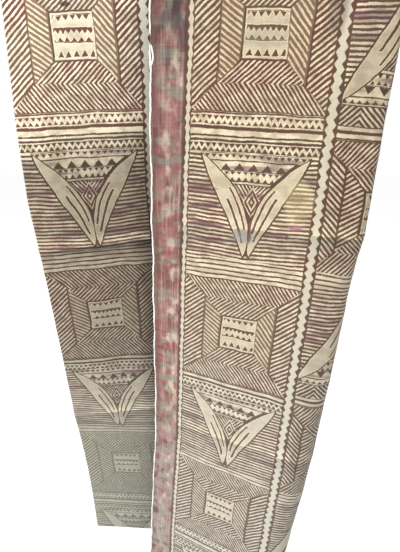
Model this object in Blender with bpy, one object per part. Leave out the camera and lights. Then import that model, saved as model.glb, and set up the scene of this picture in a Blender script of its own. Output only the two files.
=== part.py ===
"""A cut length of printed cotton, hung by its top edge and folded round on itself.

Seen from above the cloth is a flattened spiral. From its free selvedge it runs right as the
front panel, turns back at a soft fold, returns left behind as the back layer, doubles at a
crisp fold into the left panel, and ends inside, behind the front panel.
Metres, +Z up, front towards -Y. The origin is at the middle of the hung top edge.
"""
import math

import bpy
import numpy as np

MM = 0.001
CUT_WIDTH = 1.000  # selvedge to selvedge, round all the folds
CUT_LENGTH = 1.000  # top cut to bottom cut, down the free selvedge
CUT_SLANT = 0.014  # how much shorter the cloth is for each metre across, as it was cut by hand
THICKNESS = 0.0012
CRISP_FOLD_AT = 0.671  # across the cloth from the free selvedge
SOFT_FOLD_TURN = math.radians(160)  # how far the soft fold turns before the back layer starts
DROP_PER_LENGTH = 0.998  # the panels lean a little, so they hang shorter than they measure
SAG = 0.17  # how fast the rows of the print drop to both sides, per metre squared
SAG_MIDDLE = -0.032
LEFT_PANEL_SEEN = 0.137  # from the crisp fold to where the front panel hides the left one
RIPPLE_DEPTH = 0.006  # soft vertical waves of the back layer, at the bottom
RIPPLE_WIDTH = 0.165

FRONT_STEPS = 14
SOFT_FOLD_STEPS = 14
BACK_STEPS = 26
LEFT_STEPS = 24
ROW_STEPS = 24

# Each row is a level section through the hung cloth. The columns are, in mm and degrees:
# how far down the cloth, the free selvedge's place, the front panel's heading at the selvedge
# and at the soft fold, where the soft fold starts and how long it is, the crisp fold's place,
# the left panel's heading there, where it disappears, and at the hidden selvedge, and the
# angle that the crisp fold stands open. A heading is 0 along +X and grows towards +Y.
COLUMNS = (
    "down", "edge_x", "edge_y", "front_start", "front_end", "soft_at", "soft_run",
    "crisp_x", "crisp_y", "left_start", "left_seen", "left_end", "crisp_open",
)
SECTIONS = (
    (0, -37, 0, -4, -6, 237, 30, -193, 18, -2, -2, -10, 18),
    (150, -42, 1, -6, -8, 237, 30, -198, 17, -2, 0, -14, 20),
    (290, -48, 3, -11, -10, 234, 34, -196, -3, 9, 14, -40, 30),
    (360, -50, 5, -15, -12, 229, 46, -197, -2, 7, 11, -38, 34),
    (430, -52, 7, -18, -15, 218, 60, -194, 2, 7, 13, -44, 36),
    (570, -56, 9, -24, -21, 202, 85, -193, 16, 4, 9, -50, 36),
    (710, -60, 10, -28, -25, 190, 100, -194, 35, -3, -1, -48, 42),
    (850, -70, 5, -27, -27, 179, 110, -188, 44, -5, -3, -50, 48),
    (1000, -80, -3, -25, -28, 170, 115, -185, 44, -6, -4, -52, 54),
)
ANGLES = ("front_start", "front_end", "left_start", "left_seen", "left_end", "crisp_open")


def section_at(down):
    """The sections' values at a distance down the cloth, on a smooth curve through the table."""
    table = dict(zip(COLUMNS, np.array(SECTIONS, float).T))
    knots = table["down"] * MM
    i = int(np.clip(np.searchsorted(knots, down) - 1, 0, len(knots) - 2))
    step = knots[i + 1] - knots[i]
    t = (down - knots[i]) / step
    found = {}
    for name, values in table.items():
        values = np.radians(values) if name in ANGLES else values * MM
        slope = np.gradient(values, knots)
        found[name] = (
            (2 * t**3 - 3 * t**2 + 1) * values[i]
            + (t**3 - 2 * t**2 + t) * step * slope[i]
            + (3 * t**2 - 2 * t**3) * values[i + 1]
            + (t**3 - t**2) * step * slope[i + 1]
        )
    return found


def walk(start, run, headings):
    """Points along a line of a given length that leaves start and follows the headings."""
    step = run / (len(headings) - 1)
    middle = (headings[1:] + headings[:-1]) / 2
    moves = step * np.stack([np.cos(middle), np.sin(middle)], 1)
    return start + np.concatenate([[[0, 0]], np.cumsum(moves, 0)])


def back_layer(start, start_heading, end, end_heading, length, steps):
    """Evenly spaced points on a Bezier curve, its handles as long as the cloth's length needs."""
    t = np.linspace(0, 1, 201)[:, None]
    out = np.array([math.cos(start_heading), math.sin(start_heading)])
    back = np.array([math.cos(end_heading), math.sin(end_heading)])
    low, high = 0.0, length
    for _ in range(40):
        handle = (low + high) / 2
        curve = (
            (1 - t) ** 3 * start
            + 3 * (1 - t) ** 2 * t * (start + handle * out)
            + 3 * (1 - t) * t**2 * (end + handle * back)
            + t**3 * end
        )
        along = np.concatenate([[0], np.cumsum(np.linalg.norm(np.diff(curve, axis=0), axis=1))])
        low, high = (handle, high) if along[-1] < length else (low, handle)
    places = np.linspace(0, along[-1], steps + 1)
    return np.stack([np.interp(places, along, curve[:, k]) for k in (0, 1)], 1)


def plan_section(down):
    """The line of the cloth in plan at one level, from the free selvedge to the hidden one."""
    s = section_at(down)
    front = walk(
        np.array([s["edge_x"], s["edge_y"]]),
        s["soft_at"],
        np.linspace(s["front_start"], s["front_end"], FRONT_STEPS + 1),
    )
    part = np.linspace(0, 1, SOFT_FOLD_STEPS + 1)
    eased = part - np.sin(2 * math.pi * part) / (2 * math.pi)
    soft = walk(front[-1], s["soft_run"], s["front_end"] + SOFT_FOLD_TURN * eased)
    crisp = np.array([s["crisp_x"], s["crisp_y"]])
    back = back_layer(
        soft[-1],
        s["front_end"] + SOFT_FOLD_TURN,
        crisp,
        s["left_start"] + s["crisp_open"],
        CRISP_FOLD_AT - s["soft_at"] - s["soft_run"],
        BACK_STEPS,
    )
    part = np.linspace(0, 1, BACK_STEPS + 1)
    ripple = RIPPLE_DEPTH * down / CUT_LENGTH * np.sin(math.pi * part) ** 2
    waves = (CRISP_FOLD_AT - s["soft_at"] - s["soft_run"]) / RIPPLE_WIDTH
    back[:, 1] += ripple * np.cos(2 * math.pi * waves * part)
    run = CUT_WIDTH - CRISP_FOLD_AT
    left = walk(
        crisp,
        run,
        np.interp(
            np.linspace(0, run, LEFT_STEPS + 1),
            [0, LEFT_PANEL_SEEN, run],
            [s["left_start"], s["left_seen"], s["left_end"]],
        ),
    )
    return np.concatenate([front, soft[1:], back[1:], left[1:]])


def cloth_surface():
    """The cloth's middle surface: one plan section for each row, hung at its height."""
    rows = []
    for down in np.linspace(0, CUT_LENGTH, ROW_STEPS + 1):
        line = plan_section(down)
        steps = np.linalg.norm(np.diff(line, axis=0), axis=1)
        across = np.concatenate([[0], np.cumsum(steps)])
        measured = down * (1 - CUT_SLANT * across / CUT_LENGTH)
        height = -DROP_PER_LENGTH * measured - SAG * (line[:, 0] - SAG_MIDDLE) ** 2
        rows.append(np.column_stack([line, height]))
    return np.array(rows)


def normals_of(surface):
    """The unit normal at each point of the grid, towards the face side of the cloth."""
    across = np.gradient(surface, axis=1)
    down = np.gradient(surface, axis=0)
    normal = np.cross(down, across)
    return normal / np.linalg.norm(normal, axis=2, keepdims=True)


def cloth_mesh():
    """A closed slab of the cloth's thickness on its middle surface, in quads."""
    surface = cloth_surface()
    half = THICKNESS / 2 * normals_of(surface)
    rows, columns = surface.shape[:2]
    points = np.concatenate([(surface + half).reshape(-1, 3), (surface - half).reshape(-1, 3)])
    face = np.arange(rows * columns).reshape(rows, columns)
    back = face + rows * columns

    def quads(a, b, c, d):
        return np.stack([x.ravel() for x in (a, b, c, d)], 1)

    faces = np.concatenate([
        quads(face[:-1, :-1], face[1:, :-1], face[1:, 1:], face[:-1, 1:]),
        quads(back[:-1, :-1], back[:-1, 1:], back[1:, 1:], back[1:, :-1]),
        quads(face[0, :-1], face[0, 1:], back[0, 1:], back[0, :-1]),
        quads(face[-1, :-1], back[-1, :-1], back[-1, 1:], face[-1, 1:]),
        quads(face[:-1, 0], back[:-1, 0], back[1:, 0], face[1:, 0]),
        quads(face[:-1, -1], face[1:, -1], back[1:, -1], back[:-1, -1]),
    ])
    mesh = bpy.data.meshes.new("cloth")
    mesh.from_pydata(points.tolist(), [], faces.tolist())
    mesh.shade_smooth()
    return mesh


def printed_cotton():
    """Plain-woven cotton, printed in burgundy brown on cream."""
    material = bpy.data.materials.new("printed cotton")
    material.use_nodes = True
    shader = material.node_tree.nodes["Principled BSDF"]
    shader.inputs["Base Color"].default_value = (0.42, 0.33, 0.24, 1)
    shader.inputs["Roughness"].default_value = 0.85
    shader.inputs["Metallic"].default_value = 0
    return material


for old in list(bpy.data.objects):
    bpy.data.objects.remove(old)
cloth = bpy.data.objects.new("cloth", cloth_mesh())
cloth.data.materials.append(printed_cotton())
bpy.context.scene.collection.objects.link(cloth)
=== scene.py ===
"""A cut length of printed cotton, hung by its top edge and folded round on itself.

Metres, +Z up, front towards -Y. The print is laid out in millimetres on the flat cloth.
"""

import functools
import math

import bpy
import numpy as np
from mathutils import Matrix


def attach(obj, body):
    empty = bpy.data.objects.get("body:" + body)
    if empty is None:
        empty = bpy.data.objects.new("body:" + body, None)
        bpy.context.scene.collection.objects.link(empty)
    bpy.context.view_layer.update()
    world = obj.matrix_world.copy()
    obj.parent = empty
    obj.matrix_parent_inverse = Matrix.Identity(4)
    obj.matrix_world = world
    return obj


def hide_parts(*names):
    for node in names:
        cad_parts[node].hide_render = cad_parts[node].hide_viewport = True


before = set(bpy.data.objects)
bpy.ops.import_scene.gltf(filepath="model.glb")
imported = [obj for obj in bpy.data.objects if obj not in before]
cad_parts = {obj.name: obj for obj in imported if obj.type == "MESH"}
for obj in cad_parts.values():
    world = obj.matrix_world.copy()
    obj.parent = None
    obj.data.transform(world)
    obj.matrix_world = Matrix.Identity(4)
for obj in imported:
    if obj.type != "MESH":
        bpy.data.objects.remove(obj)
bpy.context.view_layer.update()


# The cloth's hanging shape. One length of plain-woven cotton, cut from the bolt. Its front
# panel turns back at a soft fold at the right, the back layer doubles at a crisp fold at the
# left, and the left panel ends inside. Two creases show where it lay folded in store.
MM = 0.001
CUT_WIDTH = 1.000
CUT_LENGTH = 1.000
CUT_SLANT = 0.014
THICKNESS = 0.0009
CRISP_FOLD_AT = 0.671
SOFT_FOLD_TURN = math.radians(160)
DROP_PER_LENGTH = 0.998
SAG = 0.17
SAG_MIDDLE = -0.032
LEFT_PANEL_SEEN = 0.137
RIPPLE_DEPTH = 0.006
RIPPLE_WIDTH = 0.165
COLUMNS = (
    "down", "edge_x", "edge_y", "front_start", "front_end", "soft_at", "soft_run",
    "crisp_x", "crisp_y", "left_start", "left_seen", "left_end", "crisp_open",
)
SECTIONS = (
    (0, -37, 0, -4, -6, 237, 30, -193, 18, -2, -2, -10, 18),
    (150, -42, 1, -6, -8, 237, 30, -198, 17, -2, 0, -14, 20),
    (290, -48, 3, -11, -10, 234, 34, -196, -3, 9, 14, -40, 30),
    (360, -50, 5, -15, -12, 229, 46, -197, -2, 7, 11, -38, 34),
    (430, -52, 7, -18, -15, 218, 60, -194, 2, 7, 13, -44, 36),
    (570, -56, 9, -24, -21, 202, 85, -193, 16, 4, 9, -50, 36),
    (710, -60, 10, -28, -25, 190, 100, -194, 35, -3, -1, -48, 42),
    (850, -70, 5, -27, -27, 179, 110, -188, 44, -5, -3, -50, 48),
    (1000, -80, -3, -25, -28, 170, 115, -185, 44, -6, -4, -52, 54),
)
ANGLES = ("front_start", "front_end", "left_start", "left_seen", "left_end", "crisp_open")


def section_at(down):
    """The sections' values at a distance down the cloth: a cubic through the table's rows."""
    table = dict(zip(COLUMNS, np.array(SECTIONS, float).T))
    knots = table["down"] * MM
    i = int(np.clip(np.searchsorted(knots, down) - 1, 0, len(knots) - 2))
    step = knots[i + 1] - knots[i]
    t = (down - knots[i]) / step
    found = {}
    for name, values in table.items():
        values = np.radians(values) if name in ANGLES else values * MM
        slope = np.gradient(values, knots)
        found[name] = (
            (2 * t**3 - 3 * t**2 + 1) * values[i]
            + (t**3 - 2 * t**2 + t) * step * slope[i]
            + (3 * t**2 - 2 * t**3) * values[i + 1]
            + (t**3 - t**2) * step * slope[i + 1]
        )
    return found


def walk(start, run, headings):
    """Points along a line of a given length: start plus the summed steps along the headings."""
    step = run / (len(headings) - 1)
    middle = (headings[1:] + headings[:-1]) / 2
    moves = step * np.stack([np.cos(middle), np.sin(middle)], 1)
    return start + np.concatenate([[[0, 0]], np.cumsum(moves, 0)])


def back_layer(start, start_heading, end, end_heading, length, steps):
    """Evenly spaced points on a cubic Bezier whose handles, found by halving, give the length."""
    t = np.linspace(0, 1, 201)[:, None]
    out = np.array([math.cos(start_heading), math.sin(start_heading)])
    back = np.array([math.cos(end_heading), math.sin(end_heading)])
    low, high = 0.0, length
    for _ in range(40):
        handle = (low + high) / 2
        curve = (
            (1 - t) ** 3 * start
            + 3 * (1 - t) ** 2 * t * (start + handle * out)
            + 3 * (1 - t) * t**2 * (end + handle * back)
            + t**3 * end
        )
        along = np.concatenate([[0], np.cumsum(np.linalg.norm(np.diff(curve, axis=0), axis=1))])
        low, high = (handle, high) if along[-1] < length else (low, handle)
    places = np.linspace(0, along[-1], steps + 1)
    return np.stack([np.interp(places, along, curve[:, k]) for k in (0, 1)], 1)


def plan_section(down, across):
    """The cloth's line in plan at one level, read at the given distances from the selvedge.

    Front panel, soft fold and left panel are walks along easing headings; the back layer is a
    Bezier with shallow waves, depth x sine squared x cosine. A short blur rounds the crisp fold.
    """
    s = section_at(down)
    front = walk(
        np.array([s["edge_x"], s["edge_y"]]),
        s["soft_at"],
        np.linspace(s["front_start"], s["front_end"], 61),
    )
    part = np.linspace(0, 1, 61)
    eased = part - np.sin(2 * math.pi * part) / (2 * math.pi)
    soft = walk(front[-1], s["soft_run"], s["front_end"] + SOFT_FOLD_TURN * eased)
    crisp = np.array([s["crisp_x"], s["crisp_y"]])
    back_run = CRISP_FOLD_AT - s["soft_at"] - s["soft_run"]
    back = back_layer(
        soft[-1],
        s["front_end"] + SOFT_FOLD_TURN,
        crisp,
        s["left_start"] + s["crisp_open"],
        back_run,
        120,
    )
    part = np.linspace(0, 1, 121)
    ripple = RIPPLE_DEPTH * down / CUT_LENGTH * np.sin(math.pi * part) ** 2
    back[:, 1] += ripple * np.cos(2 * math.pi * back_run / RIPPLE_WIDTH * part)
    run = CUT_WIDTH - CRISP_FOLD_AT
    left = walk(
        crisp,
        run,
        np.interp(
            np.linspace(0, run, 101),
            [0, LEFT_PANEL_SEEN, run],
            [s["left_start"], s["left_seen"], s["left_end"]],
        ),
    )
    line = np.concatenate([front, soft[1:], back[1:], left[1:]])
    along = np.concatenate([[0], np.cumsum(np.linalg.norm(np.diff(line, axis=0), axis=1))])
    even = np.arange(-0.006, CUT_WIDTH + 0.006, 0.0005)
    fine = np.stack([np.interp(even, along, line[:, k]) for k in (0, 1)], 1)
    bell = np.exp(-0.5 * (np.arange(-8, 9) / 2.4) ** 2)
    bell /= bell.sum()
    near = np.exp(-(((even - CRISP_FOLD_AT) / 0.012) ** 4))[:, None]
    blurred = np.stack([np.convolve(fine[:, k], bell, mode="same") for k in (0, 1)], 1)
    fine = fine + near * (blurred - fine)
    return np.stack([np.interp(across, even, fine[:, k]) for k in (0, 1)], 1)


# Where the cloth has a column or a row of points, in metres: columns close together at the folds,
# and one column of points on each border between the print and a selvedge's band. The rows are
# evenly spaced.
FIRST_BORDER = 0.0385
LAST_BORDER = 0.9745
ACROSS = np.unique(np.concatenate([
    np.linspace(0.000, FIRST_BORDER, 9), np.linspace(FIRST_BORDER, 0.160, 26),
    np.linspace(0.160, 0.300, 46), np.linspace(0.300, 0.640, 44), np.linspace(0.640, 0.662, 7),
    np.linspace(0.662, 0.680, 19), np.linspace(0.680, 0.810, 30),
    np.linspace(0.810, LAST_BORDER, 18), np.linspace(LAST_BORDER, 1.0, 4),
]).round(6))
DOWN = np.linspace(0, CUT_LENGTH, 237)

# Storage creases: distance down at the selvedge and at the crisp fold, the fall of each
# stretch per metre across, height and half width.
CREASES = (
    (0.390, -0.025, 0.423, -0.045, 0.0016, 0.011),
    (0.700, -0.045, 0.717, -0.112, 0.0011, 0.009),
)
# Soft troughs: across, down, how long each way, turn in degrees, depth.
TROUGHS = (
    (0.192, 0.150, 0.011, 0.050, 8, -0.0030),
    (0.160, 0.560, 0.020, 0.110, -8, -0.0020),
    (0.085, 0.800, 0.025, 0.120, 5, 0.0018),
    (0.760, 0.620, 0.022, 0.120, 0, -0.0020),
    (0.700, 0.300, 0.020, 0.140, 3, 0.0015),
)
PUCKER_DEPTH = 0.00035
# How far from the crisp fold the cloth still doesn't sink inwards.
CALM_BESIDE_FOLD = 0.020


def relief(across, down):
    """How far the cloth stands off its smooth shape: ridges that fade as exp(-distance/width),
    troughs that fade as exp(-distance squared), and low puckers, a sum of crossing sines.
    Beside the crisp fold nothing sinks inwards, where the layers lie close together."""
    height = np.zeros(np.broadcast(across, down).shape)
    for edge, edge_fall, fold, fold_fall, rise, width in CREASES:
        near = edge + edge_fall * across
        far = fold + fold_fall * (across - CRISP_FOLD_AT)
        part = np.clip((across - 0.30) / 0.30, 0, 1)
        place = near + (far - near) * part * part * (3 - 2 * part)
        place = place + 0.0015 * np.sin(across * 95) + 0.0008 * np.sin(across * 260 + 1)
        gap = down - place
        height = height + rise * np.exp(-np.sqrt(gap**2 + 0.0015**2) / width)
    for at, level, wide, long, turn, depth in TROUGHS:
        c, s = math.cos(math.radians(turn)), math.sin(math.radians(turn))
        x = ((across - at) * c + (down - level) * s) / wide
        y = ((down - level) * c - (across - at) * s) / long
        height = height + depth * np.exp(-(x**2) - y**2)
    puckers = (
        np.sin(61 * across + 23 * down + 1.0) * np.sin(47 * down - 12 * across)
        + 0.6 * np.sin(131 * across - 38 * down + 2.0) * np.sin(93 * down + 35 * across + 0.7)
        + 0.4 * np.sin(223 * across + 81 * down) * np.sin(171 * down - 64 * across + 2.1)
    )
    height = height + PUCKER_DEPTH * puckers
    beside_fold = np.exp(-(((across - CRISP_FOLD_AT) / CALM_BESIDE_FOLD) ** 2))
    return height + beside_fold * (np.maximum(height, 0) - height)


def hung_surface(across, down):
    """The cloth's middle surface: a plan section at each level, hung by its measured length."""
    plan = np.array([plan_section(level, across) for level in down])
    measured = down[:, None] * (1 - CUT_SLANT * across / CUT_LENGTH)
    height = -DROP_PER_LENGTH * measured - SAG * (plan[..., 0] - SAG_MIDDLE) ** 2
    return np.concatenate([plan, height[..., None]], 2), measured


def normals_of(surface):
    """The unit normal at each point: the cross product of the two grid directions."""
    normal = np.cross(np.gradient(surface, axis=0), np.gradient(surface, axis=1))
    return normal / np.linalg.norm(normal, axis=2, keepdims=True)


def ring_of(grid):
    """A grid's cells as quads of its corner values, anticlockwise seen from the face side."""
    return np.stack([grid[:-1, :-1], grid[1:, :-1], grid[1:, 1:], grid[:-1, 1:]], 2)


def strip_of(first, second):
    """The quads between two lines of values of equal length."""
    return np.stack([first[:-1], second[:-1], second[1:], first[1:]], 1)


surface, measured = hung_surface(ACROSS, DOWN)
surface = surface + relief(ACROSS[None, :], DOWN[:, None])[..., None] * normals_of(surface)
half = THICKNESS / 2 * normals_of(surface)
# The crisp fold is pressed: its inner side thins almost to nothing towards the fold line, so
# that the two layers don't cut through each other.
PRESSED_RUN = 0.0035
PRESSED_LEAST = 0.05
pressed = np.clip(np.abs(ACROSS - CRISP_FOLD_AT) / PRESSED_RUN, PRESSED_LEAST, 1.0)
pressed = pressed[None, :, None]
rows, columns = surface.shape[:2]
face_points = np.arange(rows * columns).reshape(rows, columns)
back_points = face_points + rows * columns
edges = (
    (face_points[0][::-1], back_points[0][::-1]),
    (face_points[-1], back_points[-1]),
    (face_points[:, 0], back_points[:, 0]),
    (face_points[::-1, -1], back_points[::-1, -1]),
)
quads = np.concatenate([
    ring_of(face_points).reshape(-1, 4),
    ring_of(back_points).reshape(-1, 4)[:, ::-1],
    *[strip_of(first, second) for first, second in edges],
])
cells = (rows - 1) * (columns - 1)
mesh = bpy.data.meshes.new("printed_cloth")
inner_side = surface - half * pressed
points = np.concatenate([(surface + half).reshape(-1, 3), inner_side.reshape(-1, 3)])
mesh.from_pydata(points.tolist(), [], quads.tolist())
mesh.shade_smooth()

# The flat place of each corner, in metres across and down: the print reads it.
flat = np.stack(np.broadcast_arrays(ACROSS[None, :], measured), 2).reshape(-1, 2)
flat = np.concatenate([flat, flat])
cloth_map = mesh.uv_layers.new(name="flat_cloth")
cloth_map.data.foreach_set("uv", flat[quads.ravel()].ravel())
# The same laid out without overlap: the face above, the reverse side and the edges below.
spread = flat[quads]
bake = np.empty_like(spread)
bake[:cells] = spread[:cells] * [0.98, -0.86] + [0.01, 0.99]
bake[cells:2 * cells] = spread[cells:2 * cells] * [0.98, -0.08] + [0.01, 0.09]
at = 2 * cells
for level, (first, _) in zip((0.095, 0.101, 0.107, 0.113), edges):
    run = len(first) - 1
    along = np.linspace(0.01, 0.99, run + 1)
    low = np.column_stack([along, np.full(run + 1, level)])
    bake[at:at + run] = strip_of(low, low + [0, 0.004])
    at += run
bake_map = mesh.uv_layers.new(name="OFBake")
bake_map.data.foreach_set("uv", bake.ravel())
mesh.uv_layers.active = cloth_map
cloth_map.active_render = True


# The print. Cream resist strokes on a burgundy-brown ground, in columns 156 mm apart: squares
# of hatched rings, bands of triangles, and two leaves that meet in a point, between stripes.
def linear(code):
    """An sRGB hex colour as linear red, green, blue and alpha."""
    parts = np.array([int(code[i:i + 2], 16) for i in (1, 3, 5)]) / 255
    parts = np.where(parts <= 0.04045, parts / 12.92, ((parts + 0.055) / 1.055) ** 2.4)
    return (*parts.tolist(), 1.0)


def add_node(tree, kind, *values, out=0, **settings):
    """Add a node and return one output. An upper-case kind is a Math operation, and a MapRange
    is a smooth step from 0 at its first limit to 1 at its second unless a setting says
    otherwise. Values go to the inputs in order; a setting goes to the input or the property
    of its name."""
    made = tree.nodes.new("ShaderNodeMath" if kind.isupper() else "ShaderNode" + kind)
    if kind.isupper():
        made.operation = kind
    if kind == "MapRange":
        made.interpolation_type = "SMOOTHSTEP"
    for name, value in settings.items():
        if name not in made.inputs:
            setattr(made, name, value)
    given = list(zip(made.inputs, values))
    given += [(made.inputs[name], settings[name]) for name in settings if name in made.inputs]
    for socket, value in given:
        if isinstance(value, bpy.types.NodeSocket):
            tree.links.new(value, socket)
        elif value is not None:
            socket.default_value = value
    return made.outputs[out] if made.outputs else None


COLUMN_PITCH = 156.0
PRINT_STARTS = 38.5
BLOCK_LEFT = -70.8
BLOCK_RIGHT = 71.5
SQUARE_AT = 188.0
BLOCK_LONG = 338.7
BLOCK_SHORT = 301.3
TURNED_AT = 165.0
BLOCK_TURNED = 321.0
SQUARE_HALF = 73.0
RING_AT = 45.7
STRIPE_PITCH = 4.75
COARSE_PITCH = 6.0
LEAVES_IN_LONG = 115.8
LEAVES_IN_SHORT = 95.3
CENTRE_HALF = 22.2

# Hatching of the square as pitch, angle and lean: 1 rises to the right, -1 falls.
HATCH = {
    "outer_ends": (3.95, 51, -1),
    "outer_sides": (4.75, 42, 1),
    "inner_ends": (4.05, 43, 1),
    "inner_left": (4.7, 35, -1),
    "inner_right": (4.8, 49, -1),
}

# Brown lines between square and leaves: middle and half thickness in a long block, then in
# a short or turned one.
BAND_LINES = (
    (73.3, 0.7, 73.2, 0.7), (88.4, 1.6, 79.7, 1.4),
    (97.0, 0.8, 79.7, 1.4), (101.6, 1.1, 79.7, 1.4),
)
# Rows of triangles: middle, half height, spacing, offset, half width, and which way they point.
LEAF_ROWS = (
    (1.8, 1.8, 7.6, 2.5, 2.7, -1), (13.2, 3.5, 15.3, 2.0, 5.6, 1),
    (20.4, 1.7, 6.9, 0.4, 2.4, -1), (26.8, 2.0, 7.4, 1.6, 2.4, 1),
)
CENTRE_ROWS = (
    (-17.0, 2.2, 7.4, 0.8, 2.9, -1), (-4.3, 2.0, 5.6, 1.2, 2.8, -1),
    (3.0, 1.9, 7.4, 0.8, 2.9, 1), (16.5, 3.0, 8.6, 2.0, 3.2, 1),
)

# The two leaves mirror each other about a middle line. Each has a midrib from its tip to its
# foot, in mm from that line, bent inwards, and a half width that is fuller towards the tip.
LEAF_DROP = 121.0
LEAF_MIDDLE = 3.0
LEAF_TIP = 60.0
LEAF_FOOT = 3.2
LEAF_BEND = 0.88
LEAF_HALF = 12.0
LEAF_FULLNESS = (1.35, -0.70)
# The lines along a leaf, in half widths outwards from its midrib: its edges and its slits.
LEAF_SIDES = {"outer": 1.0, "inner": -1.0, "slit": 0.2, "split": -0.55}
# Where the slits run: half width, and mm down from the leaves' tips.
LEAF_SLITS = {
    "left_slit": (1.2, 50, 100), "left_split": (1.0, 37, 84),
    "right_slit": (1.3, 46, 98), "right_split": (1.1, 37, 88),
}


def triangle_rows(n, field, along, down, rows):
    """The field less rows of triangles, in mm: half width x (1 - height) - distance from the
    nearest triangle's middle, cut off at the row's two edges."""
    for middle, half_height, spacing, offset, half_width, up in rows:
        height = n("SUBTRACT", down, middle)
        slope = n("MULTIPLY_ADD", height, up * half_width / (2 * half_height), half_width / 2)
        fold = n("PINGPONG", n("DIVIDE", n("SUBTRACT", along, offset), spacing), 0.5)
        inside = n("MULTIPLY_ADD", fold, -spacing, slope)
        inside = n("MINIMUM", inside, n("SUBTRACT", half_height, n("ABSOLUTE", height)))
        field = n("MINIMUM", field, n("MULTIPLY", inside, -1.0))
    return field


def print_field(n, across, down):
    """How far inside a cream stroke each place lies, in mm, and masks for the dyes.

    Strokes are phases folded by a ping-pong to the distance from a stroke's middle; their ends
    are rounded by a smooth minimum with the distance to the field's edge. Triangles compare a
    folded phase with the height in their row. The leaves lie between cubics of the height,
    which come from a bent midrib and a half width.
    """
    # The column, and mm from the block's middle line and from its square's middle. Every
    # second column is turned top to bottom.
    strip = n("DIVIDE", n("SUBTRACT", across, PRINT_STARTS), COLUMN_PITCH)
    odd = n("FLOORED_MODULO", n("FLOOR", strip), 2.0)
    x = n("MULTIPLY", n("SUBTRACT", n("FRACT", strip), 0.5), COLUMN_PITCH)
    level = n("SUBTRACT", down, SQUARE_AT)
    level = n("MULTIPLY_ADD", n("MULTIPLY_ADD", level, -2.0, TURNED_AT), odd, level)
    both = BLOCK_LONG + BLOCK_SHORT
    period = n("MULTIPLY_ADD", odd, BLOCK_TURNED - both, both)
    level = n("SUBTRACT", n("FLOORED_MODULO", n("ADD", level, SQUARE_HALF), period), SQUARE_HALF)
    second = n("GREATER_THAN", level, BLOCK_LONG - SQUARE_HALF)
    y = n("MULTIPLY_ADD", second, -BLOCK_LONG, level)
    short = n("MAXIMUM", second, odd)
    leaves_at = n("MULTIPLY_ADD", short, LEAVES_IN_SHORT - LEAVES_IN_LONG, LEAVES_IN_LONG)
    drop = n("SUBTRACT", y, leaves_at)
    drop = n("MULTIPLY_ADD", odd, -12.0, drop)
    leaf_x = n("MULTIPLY_ADD", odd, 17.0, x)

    # Stripes fill the block first, drooping to the middle; under the leaves they are coarser.
    droop = n("MULTIPLY_ADD", n("ABSOLUTE", x), 0.06, y)
    ramp = n("PINGPONG", n("DIVIDE", droop, STRIPE_PITCH), 0.5)
    edge = n("MULTIPLY_ADD", ramp, -STRIPE_PITCH, 1.4)
    ramp = n("PINGPONG", n("DIVIDE", n("SUBTRACT", drop, 2.2), COARSE_PITCH), 0.5)
    coarse = n("MULTIPLY_ADD", ramp, -COARSE_PITCH, 2.2)
    edge = n("Mix", n("GREATER_THAN", drop, 122.0), A=edge, B=coarse)

    # The leaves' lines. The midrib is straight from tip to foot plus bend x part x (1 - part);
    # the half width is a parabola of the same kind, times its fullness.
    part = n("DIVIDE", drop, LEAF_DROP)
    bulge = n("MULTIPLY", part, n("SUBTRACT", 1.0, part))
    full, fall = LEAF_FULLNESS
    half = n("MULTIPLY", n("MULTIPLY_ADD", part, fall, full), n("MULTIPLY", bulge, 4 * LEAF_HALF))
    lines = {}
    for name, side in (("left", -1), ("right", 1)):
        run = side * (LEAF_FOOT - LEAF_TIP)
        rib = n("MULTIPLY_ADD", part, run, LEAF_MIDDLE + side * LEAF_TIP)
        rib = n("SUBTRACT", leaf_x, n("MULTIPLY_ADD", bulge, run * LEAF_BEND, rib))
        for line, out in LEAF_SIDES.items():
            lines[name + "_" + line] = n("MULTIPLY_ADD", half, -side * out, rib)
    between = n("MINIMUM", lines["left_outer"], n("MULTIPLY", lines["right_outer"], -1.0))
    between = n("MINIMUM", between, n("SUBTRACT", 58.5, n("ABSOLUTE", n("SUBTRACT", drop, 57.5))))
    between = n("GREATER_THAN", between, 0.0)

    # The bands between the square and the leaves.
    band = 3.0
    for long_y, long_half, short_y, short_half in BAND_LINES:
        gap = n("ABSOLUTE", n("SUBTRACT", y, n("MULTIPLY_ADD", short, short_y - long_y, long_y)))
        half = n("MULTIPLY_ADD", short, short_half - long_half, long_half)
        band = n("MINIMUM", band, n("SUBTRACT", gap, half))
    edge = n("Mix", n("COMPARE", drop, -24.0, 22.2), A=edge, B=band)

    # Two rows of triangles on both sides of a cream zigzag.
    zigzag = n("MULTIPLY_ADD", n("PINGPONG", n("DIVIDE", x, 6.7), 0.5), 9.6, -2.4)
    first = n("MULTIPLY_ADD", short, 40.0, n("SUBTRACT", y, 80.5))
    for height, half in ((first, 1.8), (n("ADD", drop, 7.0), 1.45)):
        row = n("SUBTRACT", 4.3, n("ABSOLUTE", height))
        inside = n("MULTIPLY_ADD", n("ABSOLUTE", n("SUBTRACT", height, zigzag)), 0.57, -half)
        inside = n("MULTIPLY", n("MINIMUM", inside, row), -1.0)
        edge = n("Mix", n("GREATER_THAN", row, -0.6), A=edge, B=inside)
    olive = n("COMPARE", drop, 7.0, 29.0)
    # A turned column has a herringbone in place of the second of them.
    bone = n("MULTIPLY_ADD", n("ABSOLUTE", n("ADD", x, 50.0)), 0.16, n("MULTIPLY", y, 0.17))
    bone = n("MULTIPLY_ADD", n("PINGPONG", bone, 0.5), -4.4, 1.2)
    bone = n("MINIMUM", bone, n("SUBTRACT", 9.6, n("ABSOLUTE", n("SUBTRACT", y, 95.3))))
    edge = n("Mix", n("MULTIPLY", odd, n("COMPARE", y, 95.3, 10.4)), A=edge, B=bone)

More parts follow.
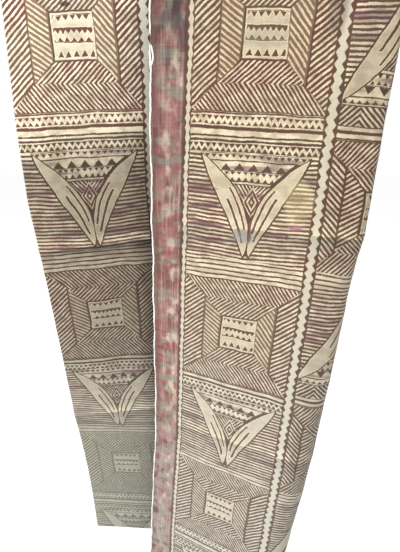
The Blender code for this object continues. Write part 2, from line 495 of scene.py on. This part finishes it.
    # Rows of single triangles between the leaves, with thin lines above and below them.
    rows = triangle_rows(n, 3.0, leaf_x, drop, LEAF_ROWS)
    for middle, half in ((6.6, 0.5), (17.3, 0.3), (29.4, 0.4), (32.9, 0.5)):
        gap = n("ABSOLUTE", n("SUBTRACT", drop, middle))
        rows = n("MINIMUM", rows, n("SUBTRACT", gap, half))
    edge = n("Mix", n("MULTIPLY", between, n("LESS_THAN", drop, 33.2)), A=edge, B=rows)

    # Hatching that leans in from both sides to a nested diamond, down to the leaves' fork.
    off = n("ABSOLUTE", n("SUBTRACT", leaf_x, 4.0))
    ramp = n("PINGPONG", n("DIVIDE", n("MULTIPLY_ADD", off, 1.25, drop), 5.6), 0.5)
    hatch = n("MULTIPLY_ADD", ramp, -3.5, 0.95)
    ring = n("MULTIPLY_ADD", off, 1.7, n("ABSOLUTE", n("SUBTRACT", drop, 51.7)))
    nest = n("MULTIPLY_ADD", n("PINGPONG", n("SUBTRACT", ring, 0.8), 4.0), -0.6, 1.35)
    hatch = n("Mix", n("LESS_THAN", ring, 17.5), A=hatch, B=nest)
    fork = n("MULTIPLY_ADD", off, 2.6, n("MULTIPLY", drop, -1.0))
    prong = n("MULTIPLY_ADD", n("ABSOLUTE", n("ADD", fork, 78.0)), -0.36, 1.2)
    below = n("MULTIPLY", n("GREATER_THAN", drop, 58.0), n("GREATER_THAN", ring, 17.5))
    hatch = n("Mix", below, A=hatch, B=prong)
    edge = n("Mix", n("MULTIPLY", between, n("GREATER_THAN", drop, 33.2)), A=edge, B=hatch)

    # The leaves, a dark line round each, and two slits down each lower leaf.
    left = n("MINIMUM", lines["left_outer"], n("MULTIPLY", lines["left_inner"], -1.0))
    right = n("MINIMUM", lines["right_inner"], n("MULTIPLY", lines["right_outer"], -1.0))
    taper = n("MAXIMUM", n("MULTIPLY_ADD", drop, -0.35, 0.9), n("MULTIPLY_ADD", drop, 0.16, -17.3))
    taper = n("MAXIMUM", taper, 0.0)
    leaf = n("SUBTRACT", n("MAXIMUM", left, right), taper)
    leaf = n("MINIMUM", leaf, n("SUBTRACT", 120.5, drop))
    near = n("MULTIPLY", n("GREATER_THAN", leaf, -1.9), n("COMPARE", drop, 58.0, 63.3))
    for name, (half, starts, ends) in LEAF_SLITS.items():
        beyond = n("ABSOLUTE", n("SUBTRACT", drop, (starts + ends) / 2))
        beyond = n("SUBTRACT", beyond, (ends - starts) / 2)
        slit = n("SUBTRACT", n("ABSOLUTE", lines[name]), half)
        leaf = n("MINIMUM", leaf, n("MAXIMUM", slit, beyond))
    edge = n("Mix", near, A=edge, B=leaf)
    # The bare ground inside the right leaf.
    bare = n("COMPARE", lines["right_inner"], -3.2, 2.4)
    bare = n("MULTIPLY", bare, n("COMPARE", drop, 20.0, 13.5))
    edge = n("Mix", bare, A=edge, B=-2.0)

    # The square: three nested boxes, the outer two hatched, each side its own way.
    square_x = n("SUBTRACT", n("MULTIPLY_ADD", odd, 11.0, x), 1.6)
    square_y = n("ADD", y, 2.0)
    off_x = n("ABSOLUTE", square_x)
    off_y = n("ABSOLUTE", square_y)
    box = n("MAXIMUM", off_x, off_y)
    sides = n("GREATER_THAN", off_x, off_y)
    inner = n("LESS_THAN", box, RING_AT)
    right_side = n("GREATER_THAN", square_x, 0.0)
    steps = []
    for pitch, angle, lean in HATCH.values():
        angle = math.radians(angle)
        steps.append((math.sin(angle) / pitch, lean * math.cos(angle) / pitch, pitch))
    per_x, per_y, pitch = (
        n(
            "Mix", inner,
            A=n("Mix", sides, A=ends, B=flanks),
            B=n("Mix", sides, A=near_ends, B=n("Mix", right_side, A=near_left, B=near_right)),
        )
        for ends, flanks, near_ends, near_left, near_right in zip(*steps)
    )
    phase = n("MULTIPLY_ADD", square_x, per_x, n("MULTIPLY", square_y, per_y))
    stroke = n("MULTIPLY", n("SUBTRACT", 0.265, n("PINGPONG", phase, 0.5)), pitch)
    joint = n("ABSOLUTE", n("SUBTRACT", box, RING_AT))
    joint = n("MULTIPLY_ADD", n("SUBTRACT", 1.0, sides), 2.0, joint)
    spine = n("MULTIPLY_ADD", n("MULTIPLY", sides, right_side), 0.7, 0.8)
    end = n("MINIMUM", n("SUBTRACT", joint, spine), n("SUBTRACT", box, CENTRE_HALF + 1.6))
    mitre = n("ABSOLUTE", n("SUBTRACT", off_x, off_y))
    end = n("MINIMUM", end, n("MULTIPLY_ADD", mitre, 0.7, 0.2))
    end = n("MINIMUM", end, n("SUBTRACT", SQUARE_HALF + 0.3, off_y))
    stroke = n("SMOOTH_MIN", stroke, end, 1.6)
    in_square = n("LESS_THAN", off_y, SQUARE_HALF + 1.0)
    edge = n("Mix", in_square, A=edge, B=stroke)
    ring_sides = n("MULTIPLY", n("MULTIPLY", inner, sides), in_square)

    # The square's middle: a framed field with rows of small triangles and a toothed line.
    middle_x = n("SUBTRACT", square_x, 1.0)
    framed = n("SUBTRACT", CENTRE_HALF, n("MAXIMUM", n("ABSOLUTE", middle_x), off_y))
    field = triangle_rows(n, 3.0, middle_x, square_y, CENTRE_ROWS)
    for middle, half in ((-6.8, 0.9), (5.4, 0.4), (-20.2, 0.3)):
        gap = n("ABSOLUTE", n("SUBTRACT", square_y, middle))
        field = n("MINIMUM", field, n("SUBTRACT", gap, half))
    field = n("MAXIMUM", field, n("MINIMUM", n("SUBTRACT", 2.0, framed), framed))
    centre = n("GREATER_THAN", framed, 0.0)
    edge = n("Mix", centre, A=edge, B=field)
    ring_sides = n("MULTIPLY", ring_sides, n("GREATER_THAN", box, CENTRE_HALF + 1.0))
    ring_sides = n("MULTIPLY", ring_sides, n("SUBTRACT", 1.0, odd))

    # The margins between the columns, and the zigzag ribbon down the middle of each.
    margin = n("MINIMUM", n("SUBTRACT", x, BLOCK_LEFT), n("SUBTRACT", BLOCK_RIGHT, x))
    edge = n("SMOOTH_MIN", edge, margin, 1.2)
    side = n("MULTIPLY", n("SIGN", x), n("SUBTRACT", COLUMN_PITCH / 2, n("ABSOLUTE", x)))
    wave = n("PINGPONG", n("DIVIDE", down, 10.5), 0.5)
    ribbon = n("ABSOLUTE", n("ADD", side, n("MULTIPLY_ADD", wave, 6.8, -1.7)))
    ribbon = n("SUBTRACT", 4.1, ribbon)
    band = n("ABSOLUTE", n("SUBTRACT", across, 42.4))
    band = n("SUBTRACT", n("MULTIPLY_ADD", wave, 3.2, 1.5), band)
    ribbon = n("Mix", n("LESS_THAN", across, 60.0), A=ribbon, B=band)
    edge = n("MAXIMUM", edge, ribbon)
    ribbon = n("GREATER_THAN", ribbon, 0.0)
    plain = n("MAXIMUM", n("MAXIMUM", near, centre), ribbon)
    return edge, drop, ring_sides, olive, plain, ribbon


def clouds(n, place, size, detail=2.0, shift=0.0, out=0):
    """Noise around 0.5 whose patches are about so many mm across and down."""
    scale = (1000 / size[0], 1000 / size[1], 1.0)
    moved = n("VectorMath", place, scale, (shift, shift * 1.7, shift), operation="MULTIPLY_ADD")
    return n("TexNoise", moved, Scale=1.0, Detail=detail, out=out)


def yarns(n, place):
    """Yarn relief, 0 to 1: streaks one yarn wide along the warp and along the weft. The real
    yarns lie about 0.4 mm apart, and are drawn at 0.8 mm so that they show."""
    warp = clouds(n, place, (0.8, 14.0), 1.0, 3.0)
    weft = clouds(n, place, (14.0, 0.8), 1.0, 5.0)
    return n("MULTIPLY", n("ADD", warp, weft), 0.5)


def cotton(n, colour, relief, lift, raised=0.0):
    """Matt plain-woven cotton: the colour darkened between the yarns, their bump and that of
    whatever is raised, in yarn heights, and a soft fuzz."""
    shade = n(
        "MapRange", relief, 0.35, 0.65, 1.0 - lift, 1.0 + lift, interpolation_type="LINEAR"
    )
    colour = n("MixRGB", 1.0, colour, shade, blend_type="MULTIPLY")
    bump = n("Bump", Strength=0.6, Distance=0.0007, Height=n("ADD", relief, raised))
    shader = n("BsdfPrincipled", colour, Normal=bump)
    shader.node.inputs["Roughness"].default_value = 0.88
    shader.node.inputs["Specular IOR Level"].default_value = 0.25
    shader.node.inputs["Sheen Weight"].default_value = 0.08
    shader.node.inputs["Sheen Roughness"].default_value = 0.6
    n("OutputMaterial", shader)


def new_tree(name):
    """An empty material and the node adder for its tree."""
    material = bpy.data.materials.new(name)
    material.use_nodes = True
    material.node_tree.nodes.clear()
    return material, functools.partial(add_node, material.node_tree)


# Plain-woven cotton printed by resist: the strokes keep the cloth's cream, the ground takes
# burgundy and olive-brown dye unevenly, with soft edges and a hand-cut wobble.
printed, n = new_tree("resist_printed_cotton")
place = n("UVMap", uv_map="flat_cloth")
spot = n("VectorMath", place, (1000, 1000, 0), (-2.15, -2.15, 0), operation="MULTIPLY_ADD")
sway = clouds(n, place, (30.0, 30.0), 1.0, 1.0, out=1)
spot = n("VectorMath", sway, (3.4, 3.4, 0), spot, operation="MULTIPLY_ADD")
sway = clouds(n, place, (4.0, 4.0), 1.0, 2.0, out=1)
spot = n("VectorMath", sway, (0.9, 0.9, 0), spot, operation="MULTIPLY_ADD")
spot = n("SeparateXYZ", spot)
edge, drop, ring_sides, olive, plain, ribbon = print_field(n, spot, spot.node.outputs[1])
rough = clouds(n, place, (1.3, 1.3), 2.0, 7.0)
worn = n("MULTIPLY_ADD", clouds(n, place, (9.0, 9.0), 1.0, 9.0), 1.1, edge)
cream = n("MapRange", n("MULTIPLY_ADD", rough, 1.3, worn), 1.12, 1.68)
deep = n("MapRange", edge, -0.3, -1.3)

flat_spot = n("SeparateXYZ", place)
level = flat_spot.node.outputs[1]
lower = n("MapRange", level, 0.25, 0.95)
large = clouds(n, place, (60.0, 45.0), 3.0, 11.0)
small = clouds(n, place, (16.0, 11.0), 2.0, 13.0)
streak = clouds(n, place, (90.0, 9.0), 1.0, 17.0)

# The ground: burgundy where it meets a stroke, olive-brown where it pooled.
brown = n("MixRGB", n("MapRange", large, 0.40, 0.62), linear("#592E29"), linear("#584331"))
pooled = n("MULTIPLY", deep, n("MULTIPLY_ADD", small, 0.6, 0.55))
brown = n("MixRGB", n("MAXIMUM", pooled, n("MULTIPLY", olive, 0.7)), brown, linear("#413524"))
brown = n("MixRGB", n("MULTIPLY", ring_sides, 0.75), brown, linear("#6E5744"))
brown = n("MixRGB", n("MULTIPLY", lower, 0.5), brown, linear("#5E5A52"))

# The strokes: cream, tan and rose patches, duller where they are wide.
light = n("MixRGB", n("MapRange", small, 0.40, 0.62), linear("#BFB398"), linear("#A3947A"))
amount = n("MULTIPLY", n("MapRange", large, 0.52, 0.68), 0.45)
light = n("MixRGB", amount, light, linear("#B0978A"))
light = n("MixRGB", n("MULTIPLY", ring_sides, 0.5), light, linear("#AC9C7A"))
light = n("MixRGB", n("MULTIPLY", plain, 0.5), light, linear("#968C76"))
light = n("MixRGB", n("MULTIPLY", ribbon, 0.6), light, linear("#ADA795"))
light = n("MixRGB", n("MULTIPLY", lower, 0.6), light, linear("#A6A69F"))
rim = n("MULTIPLY", n("MapRange", edge, 1.7, 0.5), n("SUBTRACT", plain, ribbon))
light = n("MixRGB", n("MULTIPLY", rim, 0.65), light, linear("#C6B695"))
colour = n("MixRGB", cream, brown, light)

# Dye that bled over the stripes in level streaks.
stripes = n("MULTIPLY", n("COMPARE", drop, 60.0, 60.0), n("SUBTRACT", 1.0, plain))
bled = n("MULTIPLY", n("MapRange", streak, 0.52, 0.64), stripes)
colour = n("MixRGB", n("MULTIPLY", bled, 0.6), colour, linear("#56343A"))

# Single stains, and one patch of painted shade: mm across and down, half width and half height,
# strength, colour.
STAINS = (
    (62, 343, 17, 2.6, 0.6, "#4E2F36"), (66, 363, 20, 3.4, 0.7, "#4E2F36"),
    (70, 385, 24, 3.4, 0.7, "#4E2F36"), (80, 404, 20, 2.4, 0.6, "#4E2F36"),
    (172, 379, 8, 3.6, 0.7, "#7C4C5C"), (164, 391, 2, 3.6, 0.6, "#42342E"),
    (172, 350, 17, 26, 0.26, "#B8AB78"), (114, 396, 14, 8, 0.5, "#7D8284"),
    # The patch at 186 across, 160 down is painted shade in the soft trough there.
    (121, 392, 2.6, 12, 0.8, "#592C30"), (186, 160, 10, 26, 0.45, "#3B2E26"),
    (116, 190, 24, 9, 0.3, "#7F7C6C"),
    (735, 380, 40, 3.6, 0.6, "#46303A"), (742, 402, 52, 4.2, 0.6, "#46303A"),
    (738, 424, 44, 3.6, 0.5, "#46303A"), (738, 156.5, 6, 2.4, 0.85, "#1E1A18"),
)
for across, down, wide, high, strength, code in STAINS:
    off = (-across / wide, -down / high, 0)
    off = n("VectorMath", place, (1000 / wide, 1000 / high, 0), off, operation="MULTIPLY_ADD")
    reach = n("VectorMath", off, out=1, operation="LENGTH")
    reach = n("MULTIPLY_ADD", small, 0.9, n("SUBTRACT", reach, 0.45))
    amount = n("MULTIPLY", n("MapRange", reach, 1.25, 0.65), strength)
    if wide > 30:
        amount = n("MULTIPLY", amount, n("SUBTRACT", 1.0, plain))
    colour = n("MixRGB", amount, colour, linear(code))

# Painted light and shade on the left panel: lighter towards the crisp fold and darker to its
# right, with painted light at its top, brighter and cooler, and painted shade below its first band
# that eases off towards its hidden end; low down it turns greyer, with more painted shade.
# The soft fold is painted darker as shade, and the left panel beside the free selvedge as shadow.
# Each storage crease has a painted highlight above its line and painted shade just below it.
left = n("MapRange", flat_spot, 0.655, 0.675)
# Greyer low on the left panel, with painted shade there.
grey_shaded_low_left = n("MULTIPLY", left, n("MapRange", level, 0.62, 0.80))
colour = n("MixRGB", n("MULTIPLY", grey_shaded_low_left, 0.5), colour, linear("#6D7264"))
# Painted shade on the left panel below its first band, less of it lower down and towards its
# hidden end.
painted_left_shade = n("MULTIPLY_ADD", n("MapRange", level, 0.60, 0.74), -0.55, 1.0)
painted_left_shade = n("MULTIPLY", n("MapRange", level, 0.27, 0.33), painted_left_shade)
# Painted light: the left panel is brighter towards the crisp fold and darker to its right.
painted_light_and_shade = n("MULTIPLY_ADD", n("MINIMUM", flat_spot, 0.82), -1.6, 1.50)
hidden = n("MapRange", flat_spot, 0.80, 0.84)
painted_left_shade = n("MULTIPLY", painted_left_shade, n("MULTIPLY_ADD", hidden, -0.6, 1.0))
painted_light_and_shade = n("MULTIPLY_ADD", left, n("MULTIPLY_ADD", painted_left_shade, -0.68, painted_light_and_shade), 1.07)
painted_light_and_shade = n("MULTIPLY_ADD", grey_shaded_low_left, -0.12, painted_light_and_shade)
# Painted shadow on the left panel beside the free selvedge.
painted_light_and_shade = n("MULTIPLY_ADD", n("MapRange", flat_spot, 0.780, 0.812), -0.22, painted_light_and_shade)
# Painted shade on the soft fold, where the cloth turns away.
fold = n("MapRange", flat_spot, 0.196, 0.215)
fold = n("MULTIPLY", fold, n("MapRange", flat_spot, 0.40, 0.30))
painted_light_and_shade = n("MULTIPLY_ADD", fold, -0.22, painted_light_and_shade)
# A painted highlight above each storage crease and painted shade just below it.
for edge_at, edge_fall, fold_at, fold_fall, _, _ in CREASES:
    near = n("MULTIPLY_ADD", flat_spot, edge_fall, edge_at)
    far = n("MULTIPLY_ADD", flat_spot, fold_fall, fold_at - fold_fall * CRISP_FOLD_AT)
    gap = n("SUBTRACT", level, n("Mix", left, A=near, B=far))
    below = n("MULTIPLY", n("GREATER_THAN", gap, 0.0), n("MapRange", gap, 0.030, 0.0))
    lit_above_crease = n("MULTIPLY", n("LESS_THAN", gap, 0.0), n("MapRange", gap, -0.020, 0.0))
    crease_highlight = n("MULTIPLY_ADD", left, 0.32, 0.22)
    painted_light_and_shade = n("MULTIPLY_ADD", below, -0.24, n("MULTIPLY_ADD", lit_above_crease, crease_highlight, painted_light_and_shade))
# Painted light at the top of the left panel: brighter, and cooler in colour.
painted_lit_top = n("MULTIPLY", left, n("MapRange", level, 0.40, 0.20))
painted_light_and_shade = n("MULTIPLY_ADD", painted_lit_top, 0.26, painted_light_and_shade)
colour = n("MixRGB", 1.0, colour, painted_light_and_shade, blend_type="MULTIPLY")
colour = n("MixRGB", painted_lit_top, colour, linear("#F0F6FF"), blend_type="MULTIPLY")
cotton(n, colour, yarns(n, place), 0.08, n("MULTIPLY", cream, 1.1))

# The band beside each selvedge, where the dyes were only dabbed on: mottled rose, grey-green
# and cream between a brown strip along the edge and a burgundy line beside the print.
selvedge_band, n = new_tree("mottled_selvedge_cotton")
place = n("UVMap", uv_map="flat_cloth")
flat_spot = n("SeparateXYZ", place)
level = flat_spot.node.outputs[1]
inward = n("SUBTRACT", 0.5, n("ABSOLUTE", n("SUBTRACT", flat_spot, 0.5)))
patch = clouds(n, place, (15.0, 26.0), 2.0, 21.0)
colour = n("MixRGB", n("MapRange", patch, 0.36, 0.64), linear("#6E4840"), linear("#93605F"))
patch = clouds(n, place, (38.0, 13.0), 1.0, 37.0)
bars = n("MULTIPLY", n("MapRange", patch, 0.50, 0.62), n("COMPARE", level, 0.52, 0.16))
colour = n("MixRGB", n("MULTIPLY", bars, 0.7), colour, linear("#84423F"))
patch = clouds(n, place, (34.0, 14.0), 2.0, 23.0)
amount = n("MULTIPLY", n("MapRange", patch, 0.47, 0.62), 0.85)
colour = n("MixRGB", amount, colour, linear("#7A7A6C"))
patch = clouds(n, place, (12.0, 20.0), 2.0, 27.0)
inner = n("MULTIPLY", n("MapRange", inward, 0.006, 0.020), n("MapRange", patch, 0.46, 0.72))
colour = n("MixRGB", n("MULTIPLY", inner, 0.9), colour, linear("#BDB09A"))
patch = clouds(n, place, (2.6, 70.0), 2.0, 29.0)
amount = n("MULTIPLY", n("MapRange", patch, 0.46, 0.72), 0.45)
colour = n("MixRGB", amount, colour, linear("#BBA898"))
top = n("MapRange", level, 0.24, 0.16)
dark = n("MULTIPLY", top, n("MapRange", clouds(n, place, (16.0, 40.0)), 0.36, 0.6))
colour = n("MixRGB", n("MULTIPLY", dark, 0.85), colour, linear("#352B33"))
amount = n("MULTIPLY", n("MapRange", inward, 0.012, 0.004), 0.6)
colour = n("MixRGB", amount, colour, linear("#5A3A30"))
patch = clouds(n, place, (13.0, 15.0), 2.0, 43.0)
low = n("MULTIPLY", n("MapRange", level, 0.60, 0.80), n("MapRange", patch, 0.36, 0.60))
colour = n("MixRGB", n("MULTIPLY", low, 0.7), colour, linear("#8D8A84"))
low = n("MULTIPLY", n("MapRange", level, 0.60, 0.80), n("MapRange", patch, 0.40, 0.28))
colour = n("MixRGB", n("MULTIPLY", low, 0.6), colour, linear("#574047"))
amount = n("MULTIPLY", n("MapRange", inward, 0.0350, 0.0374), 0.8)
colour = n("MixRGB", amount, colour, linear("#552F2B"))
weft = clouds(n, place, (30.0, 1.1), 1.0, 41.0)
amount = n("MULTIPLY", n("MapRange", weft, 0.5, 0.7), 0.25)
colour = n("MixRGB", amount, colour, linear("#4E3833"))
shade = n("MapRange", level, 0.35, 0.75, 0.79, 0.94, interpolation_type="LINEAR")
colour = n("MixRGB", 1.0, colour, shade, blend_type="MULTIPLY")
cotton(n, colour, yarns(n, place), 0.12)

# The cloth's reverse, where the dye came through only faintly.
reverse_side, n = new_tree("faded_reverse_cotton")
place = n("UVMap", uv_map="flat_cloth")
patch = clouds(n, place, (30.0, 24.0), 3.0, 31.0)
colour = n("MixRGB", n("MapRange", patch, 0.38, 0.64), linear("#A59A87"), linear("#887869"))
cotton(n, colour, yarns(n, place), 0.08)


for material in (printed, selvedge_band, reverse_side):
    mesh.materials.append(material)
across_mid = flat[quads][:, :, 0].mean(1)
finish = np.where((across_mid < FIRST_BORDER) | (across_mid > LAST_BORDER), 1, 0)
finish[cells:] = 2
mesh.polygons.foreach_set("material_index", finish.astype(np.int32))
mesh.update()

cloth = bpy.data.objects.new("printed_cloth", mesh)
bpy.context.scene.collection.objects.link(cloth)
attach(cloth, "root")
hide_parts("cloth")


# The free selvedge's edge: a bundle of white edge yarns of plain cotton, woven in tight along
# the side of the cloth. It is cut at one place, and a loop of it has pulled out below.
def yarn_tube(path, radius):
    """A tube round a path: each point plus radius times the cosine and sine of the turn along
    two directions square to the path, with its ends drawn in and closed."""
    sides = 8
    forward = np.gradient(path, axis=0)
    forward /= np.linalg.norm(forward, axis=1, keepdims=True)
    side = np.cross(forward, (0.0, 1.0, 0.2))
    side /= np.linalg.norm(side, axis=1, keepdims=True)
    other = np.cross(side, forward)
    turn = np.linspace(0, 2 * math.pi, sides, endpoint=False)
    part = np.linspace(0, 1, len(path))
    thick = radius * np.clip(np.minimum(part, 1 - part) * len(path) / 3, 0.02, 1.0)
    thick = thick[:, None, None]
    rings = (
        path[:, None]
        + thick * np.cos(turn)[None, :, None] * side[:, None]
        + thick * np.sin(turn)[None, :, None] * other[:, None]
    )
    index = np.arange(len(path) * sides).reshape(len(path), sides)
    # Three quads close each eight-sided end.
    caps = np.array([(0, 1, 2, 3), (0, 3, 4, 7), (4, 5, 6, 7)])
    caps = np.concatenate([index[0][caps], index[-1][caps[:, ::-1]]])
    index = np.concatenate([index, index[:, :1]], 1)
    return rings.reshape(-1, 3), np.concatenate([ring_of(index).reshape(-1, 4), caps])


def beside_edge(down, inward, lift):
    """Places on the face beside the free selvedge: mm down and inward, mm off the face."""
    rows_at = down / CUT_LENGTH * (rows - 1)
    low = np.clip(rows_at.astype(int), 0, rows - 2)
    part = (rows_at - low)[:, None]
    spread_over = [surface[:, 0], surface[:, 3], normals_of(surface)[:, 0]]
    edge, inner, normal = (line[low] * (1 - part) + line[low + 1] * part for line in spread_over)
    across = inner - edge
    across /= np.linalg.norm(across, axis=1, keepdims=True)
    return edge + across * (inward * MM)[:, None] + normal * (lift * MM)[:, None]


# From and to, in metres down, then the pull inwards in mm, and the radius.
STRANDS = (
    (0.0005, 0.1885, 0.0, 0.00100), (0.1945, 0.9990, 0.0, 0.00100), (0.1955, 0.2165, 3.2, 0.0009),
)
white_points = []
white_quads = []
count = 0
for top, bottom, pull, radius in STRANDS:
    down = np.linspace(top, bottom, max(24, int((bottom - top) * 500)))
    part = (down - top) / (bottom - top)
    inward = (
        0.35 + 0.45 * np.sin(down * 61) + 0.3 * np.sin(down * 173 + 1)
        + 0.15 * np.sin(down * 611)
    )
    inward = inward + pull * np.sin(math.pi * part) ** 0.7
    points, faces = yarn_tube(beside_edge(down, inward, np.full(len(down), 0.55)), radius)
    white_points.append(points)
    white_quads.append(faces + count)
    count += len(points)
yarn_mesh = bpy.data.meshes.new("selvedge_yarns")
white_points = np.concatenate(white_points)
white_quads = np.concatenate(white_quads)
yarn_mesh.from_pydata(white_points.tolist(), [], white_quads.tolist())
yarn_mesh.shade_smooth()
white_yarn, n = new_tree("unprinted_selvedge_yarn")
place = n("TexCoord", out=3)
twist = n("TexNoise", place, Scale=900.0, Detail=2.0)
patch = n("TexNoise", place, Scale=45.0, Detail=2.0)
colour = n("MixRGB", n("MapRange", patch, 0.42, 0.66), linear("#EFECE6"), linear("#C9C1B8"))
cotton(n, colour, twist, 0.10)
yarn_mesh.materials.append(white_yarn)
selvedge_yarns = bpy.data.objects.new("selvedge_yarns", yarn_mesh)
bpy.context.scene.collection.objects.link(selvedge_yarns)
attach(selvedge_yarns, "root")


# The studio: a pale floor well below the hem, soft light from large panels, and the camera
# where the photograph was taken from, close in front and looking down.
floor_mesh = bpy.data.meshes.new("floor")
floor_mesh.from_pydata(
    [(-6, -6, -1.5), (6, -6, -1.5), (6, 6, -1.5), (-6, 6, -1.5)], [], [(0, 1, 2, 3)]
)
floor = bpy.data.objects.new("floor", floor_mesh)
bpy.context.scene.collection.objects.link(floor)
pale = bpy.data.materials.new("pale_floor")
pale.use_nodes = True
pale.node_tree.nodes["Principled BSDF"].inputs["Base Color"].default_value = linear("#FAFAFA")
pale.node_tree.nodes["Principled BSDF"].inputs["Roughness"].default_value = 0.9
floor_mesh.materials.append(pale)

LIGHTS = (
    ("key", (-1.7, -1.0, 0.6), (0.0, 0.0, -0.4), 1.0, 52),
    ("fill", (0.9, -1.9, 0.9), (0.0, 0.0, -0.4), 1.6, 8),
)
for name, spot_at, aim, size, watts in LIGHTS:
    lamp = bpy.data.lights.new(name, "AREA")
    lamp.size = size
    lamp.energy = watts
    holder = bpy.data.objects.new(name, lamp)
    heading = np.array(aim) - np.array(spot_at)
    flat_run = math.hypot(heading[0], heading[1])
    holder.location = spot_at
    holder.rotation_euler = (
        math.atan2(flat_run, -heading[2]), 0, math.atan2(heading[1], heading[0]) - math.pi / 2
    )
    bpy.context.scene.collection.objects.link(holder)

world = bpy.data.worlds.new("studio")
world.use_nodes = True
world.node_tree.nodes["Background"].inputs["Color"].default_value = linear("#FFFFFF")
world.node_tree.nodes["Background"].inputs["Strength"].default_value = 1.0
bpy.context.scene.world = world
bpy.context.scene.view_settings.view_transform = "Standard"

lens = bpy.data.cameras.new("camera")
lens.sensor_fit = "VERTICAL"
lens.sensor_height = 36
# A focal length of 430 pixels in a picture 552 pixels high.
lens.lens = 430 / 552 * lens.sensor_height
camera = bpy.data.objects.new("camera", lens)
camera.location = (0.008, -0.505, -0.2337)
camera.rotation_euler = (math.radians(66), 0, 0)
bpy.context.scene.collection.objects.link(camera)
bpy.context.scene.camera = camera
